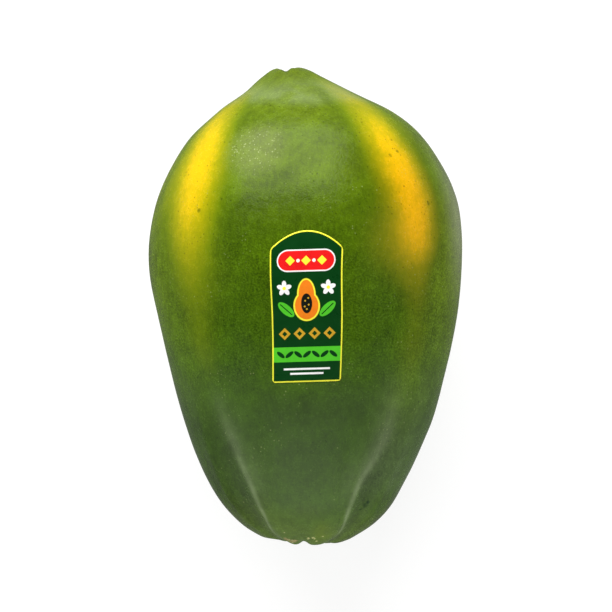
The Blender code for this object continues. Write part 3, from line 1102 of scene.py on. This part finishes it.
    def bump(self, pores, cork):
        """The normal: fine grain, sunken pores and crumbly cork."""
        height = self.math("MULTIPLY", self.swing(self.grain, 0.5), GRAIN_BUMP)
        height = self.math("MULTIPLY_ADD", self.swing(self.mottled, 0.5), MOTTLE_BUMP, height)
        height = self.math("MULTIPLY_ADD", pores, PORE_BUMP, height)
        height = self.math("MULTIPLY_ADD", cork, self.between(self.clouds(CRUMBS), 0, CORK_BUMP), height)
        return self.add("Bump", {"Strength": 1.0, "Distance": MM, "Height": height}).outputs["Normal"]


def papaya_skin(shift):
    """Waxy green skin with pores, cloudy patches, yellow streaks and a corky scar, with painted highlights
    along the shoulders and painted light and shade on its flanks, panels and furrows.
    """
    material, graph, shader = new_material("papaya_skin")
    skin = SkinGraph(graph.tree, shift)
    pores, cork = skin.pores(), skin.cork()
    colour = skin.ripened(skin.green_ground())
    colour = skin.mix(pores, colour, skin.tinted(colour, solid(*PORE_TINT)))
    colour = skin.bloomed_and_highlighted(skin.dotted(colour))
    skin.feed(shader, {
        "Base Color": skin.marked(colour, cork),
        "Roughness": skin.roughness(cork),
        "Normal": skin.bump(pores, cork),
        "Specular IOR Level": SKIN_SPECULAR,
    })
    return material


# Colours of the label's print
DARK_GREEN = 0.0008, 0.043, 0.005
LIGHT_GREEN = 0.080, 0.54, 0.024
YELLOW = 0.93, 0.90, 0.05
RED = 0.82, 0.012, 0.012
WHITE = 0.90, 0.90, 0.88
GOLD = 0.60, 0.34, 0.022
ORANGE = 0.86, 0.22, 0.012
SEED_BLACK = 0.006, 0.008, 0.005


# The label's print, in mm from the middle of its lower edge: x, y, half width, half height
BAND_Y = 12.6
LEAF_BAND = 0, BAND_Y, 16.6, 3.3
BAND_LEAF_XS, BAND_LEAF, BAND_LEAF_LEAN = range(-12, 13, 4), (BAND_Y, 2.2, 0.9), 38
DIAMOND_XS, DIAMOND_Y, DIAMOND, DIAMOND_HEART = (-10.2, -3.4, 3.4, 10.2), 22.0, 1.9, 0.8
LEAF_X, LEAF_Y, LEAF_LEAN = 9.4, 33.0, 42
LEAF, VEIN = (LEAF_Y, 4.6, 2.1), (LEAF_Y, 3.6, 0.18)
FLOWER_X, FLOWER_Y, FLOWER_HEART = 10.0, 42.6, 0.8
PETALS, PETAL_REACH, PETAL = 5, 1.75, (1.05, 1.75)
FRUIT_BODY, FRUIT_NECK, FRUIT_RIND = (0, 34.5, 6.0, 6.9), (0, 39.5, 4.2, 7.4), 0.7
SEED_HOLLOW = 0, 35.6, 2.5, 4.5
SEEDS, SEED_RADIUS = ((-0.9, 34.2), (0.9, 35.0), (-0.6, 36.8), (0.8, 38.0), (0, 33.0)), 0.42
PLATE_Y = 55.0
PLATE, PLATE_INSIDE = (0, PLATE_Y, 13.3, 5.0, 5.0), (0, PLATE_Y, 12.7, 4.4, 4.4)  # the last is the rounding
PLATE_DIAMOND_XS, PLATE_DIAMOND = (-7.2, 0, 7.2), 1.5
PLATE_DOT_XS, PLATE_DOT = (-3.6, 3.6), 0.8
BASE_LINES = (0, 6.0, 10.5, 0.38), (0, 3.9, 7.5, 0.38)
EDGE_LINE = 0.58, 0.70  # how far in the yellow edge ends

# The film's slow unevenness: size, light, roughness, bump in mm
FILM_CLOUD = 7 * MM
FILM_LIGHT, FILM_ROUGHNESS, FILM_BUMP = (0.94, 1.03), (0.27, 0.34), 0.06
FILM_SPECULAR = 0.15


class PrintGraph(Graph):
    """The nodes of the label's film, with shapes in mm from the middle of its lower edge."""

    def __init__(self, tree):
        super().__init__(tree)
        width, height = LABEL_UPPER_WIDTH / MM, (LABEL_SIDE + LABEL_ARCH) / MM
        self.place = self.add("Mapping", {
            "Vector": self.add("UVMap", {}, uv_map="print").outputs["UV"],
            "Scale": (width, height, 1),
            "Location": (-width / 2, 0, 0),
        }).outputs[0]

    def oval(self, x, y, half_width, half_height, turn=0.0):
        return self.group(OVAL, {
            "Place": self.place,
            "Centre": (x, y, 0),
            "Radii": (half_width, half_height, 1),
            "Turn": math.radians(turn),
        })

    def bar(self, x, y, half_width, half_height, rounding=0.0, turn=0.0):
        return self.group(BAR, {
            "Place": self.place,
            "Centre": (x, y, 0),
            "Half Size": (half_width, half_height, 1),
            "Rounding": rounding,
            "Turn": math.radians(turn),
        })

    def dot(self, x, y, radius):
        return self.oval(x, y, radius, radius)

    def diamond(self, x, y, half_side):
        return self.bar(x, y, half_side, half_side, turn=45)

    def fruit_half(self, inset):
        """The outline of a papaya cut in half, smaller by some mm."""
        ovals = [
            self.oval(x, y, half_width - inset, half_height - inset)
            for x, y, half_width, half_height in (FRUIT_BODY, FRUIT_NECK)
        ]
        return self.math("MAXIMUM", *ovals)

    def leaf_and_flower(self, side):
        """What stands on one side of the cut fruit: a leaf with its vein and a flower over it."""
        lean = -side * LEAF_LEAN
        layers = [
            (self.oval(side * LEAF_X, *LEAF, lean), LIGHT_GREEN),
            (self.bar(side * LEAF_X, *VEIN, turn=lean), DARK_GREEN),
        ]
        x, y = side * FLOWER_X, FLOWER_Y
        for petal in range(PETALS):
            turn = 360 / PETALS * petal
            petal_x = x + PETAL_REACH * math.sin(math.radians(turn))
            petal_y = y + PETAL_REACH * math.cos(math.radians(turn))
            layers.append((self.oval(petal_x, petal_y, *PETAL, turn), WHITE))
        return layers + [(self.dot(x, y, FLOWER_HEART), YELLOW)]

    def layers(self):
        """The print's shapes and inks, from the lowest to the topmost."""
        layers = [(self.bar(*LEAF_BAND), LIGHT_GREEN)]
        for step, x in enumerate(BAND_LEAF_XS):
            layers.append((self.oval(x, *BAND_LEAF, BAND_LEAF_LEAN * (-1) ** step), DARK_GREEN))
        layers += [(self.diamond(x, DIAMOND_Y, DIAMOND), GOLD) for x in DIAMOND_XS]
        layers += [(self.diamond(x, DIAMOND_Y, DIAMOND_HEART), DARK_GREEN) for x in DIAMOND_XS]
        layers += self.leaf_and_flower(-1) + self.leaf_and_flower(1)
        layers += [(self.fruit_half(0.0), YELLOW), (self.fruit_half(FRUIT_RIND), ORANGE)]
        layers += [(self.oval(*SEED_HOLLOW), SEED_BLACK)]
        layers += [(self.dot(x, y, SEED_RADIUS), GOLD) for x, y in SEEDS]
        layers += [(self.bar(*PLATE), WHITE), (self.bar(*PLATE_INSIDE), RED)]
        layers += [(self.diamond(x, PLATE_Y, PLATE_DIAMOND), YELLOW) for x in PLATE_DIAMOND_XS]
        layers += [(self.dot(x, PLATE_Y, PLATE_DOT), WHITE) for x in PLATE_DOT_XS]
        return layers + [(self.bar(*line), WHITE) for line in BASE_LINES]


def label_film():
    """Glossy printed film: a made-up fruit design of ovals and bars inside a yellow edge."""
    material, graph, shader = new_material("label_film")
    film = PrintGraph(graph.tree)
    colour = solid(*DARK_GREEN)
    for mask, ink in film.layers():
        colour = film.mix(mask, colour, solid(*ink))
    edge = film.spread(film.attribute("inset"), *EDGE_LINE, 1, 0)
    colour = film.mix(edge, colour, solid(*YELLOW))

    coordinates = film.add("TexCoord", {}).outputs["Object"]
    dull = film.group(CLOUDINESS, {"Place": coordinates, "Patch Size": FILM_CLOUD})
    height = film.math("MULTIPLY", dull, FILM_BUMP)
    bump = film.add("Bump", {"Strength": 1.0, "Distance": MM, "Height": height})
    film.feed(shader, {
        "Base Color": film.scaled(colour, film.between(dull, *FILM_LIGHT)),
        "Roughness": film.between(dull, *FILM_ROUGHNESS),
        "Normal": bump.outputs["Normal"],
        "Specular IOR Level": FILM_SPECULAR,
    })
    return material


def floor_white():
    """Pale matt board, faintly uneven, that glows a little so that the surround stays light."""
    material, graph, shader = new_material("floor_white")
    coordinates = graph.add("TexCoord", {}).outputs["Object"]
    dull = graph.group(CLOUDINESS, {"Place": coordinates, "Patch Size": FLOOR_PATCH})
    graph.feed(shader, {
        "Base Color": graph.ramp(dull, [(end, (grey,) * 3) for end, grey in enumerate(FLOOR_GREYS)]),
        "Roughness": FLOOR_ROUGHNESS,
        "Emission Color": solid(1, 1, 1),
        "Emission Strength": FLOOR_GLOW,
    })
    return material


def make_floor():
    bm = bmesh.new()
    bmesh.ops.create_grid(bm, x_segments=1, y_segments=1, size=FLOOR_HALF_SIZE)
    floor = finish_piece("floor", bm, {})
    floor.data.materials.append(floor_white())
    floor.visible_glossy = False


def make_camera(shift):
    """A long lens square to the fruit's long axis, above the label."""
    middle = np.array([CAMERA_SHIFT_X, CAMERA_SHIFT_Y, CAMERA_DISTANCE])
    data = bpy.data.cameras.new("camera")
    data.sensor_width = SENSOR
    data.lens = SENSOR * CAMERA_DISTANCE / PHOTO_WIDTH
    data.clip_end = 20
    camera = bpy.data.objects.new("camera", data)
    bpy.context.scene.collection.objects.link(camera)
    camera.location = laid_down(middle) + shift
    camera.rotation_euler = REST_TILT, 0, 0
    bpy.context.scene.camera = camera


def make_softbox(name, azimuth, elevation, roll, width, height, brightness):
    """A large soft light that faces the fruit and isn't seen by the camera."""
    data = bpy.data.lights.new(name, "AREA")
    data.shape = "RECTANGLE"
    data.size, data.size_y = width, height
    data.energy = brightness * math.pi * width * height
    light = bpy.data.objects.new(name, data)
    bpy.context.scene.collection.objects.link(light)
    turn, rise = math.radians(azimuth), math.radians(elevation)
    outwards = Vector((math.cos(rise) * math.sin(turn), math.cos(rise) * math.cos(turn), math.sin(rise)))
    light.location = Vector((0, 0, LIGHT_AIM)) + LIGHT_DISTANCE * outwards
    facing = outwards.to_track_quat("Z", "Y").to_matrix() @ Matrix.Rotation(math.radians(roll), 3, "Z")
    light.rotation_euler = facing.to_euler()
    light.visible_camera = False
    light.visible_glossy = name not in NO_SHEEN


def make_lights():
    world = bpy.data.worlds.new("studio")
    bpy.context.scene.world = world
    world.use_nodes = True
    sky = world.node_tree.nodes["Background"]
    sky.inputs["Color"].default_value = solid(1, 1, 1)
    sky.inputs["Strength"].default_value = SKY_BRIGHTNESS
    for name, softbox in SOFTBOXES.items():
        make_softbox(name, *softbox)


fruit, SHIFT = make_fruit()
fruit.data.materials.append(papaya_skin(SHIFT))
label = make_label(SHIFT)
label.data.materials.append(label_film())
for piece, node, slot in ((fruit, "papaya", "papaya_skin"), (label, "label", "label_film")):
    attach(piece, "root")
    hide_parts(node)
make_camera(SHIFT)
make_floor()
make_lights()
bpy.context.scene.view_settings.view_transform = "Standard"
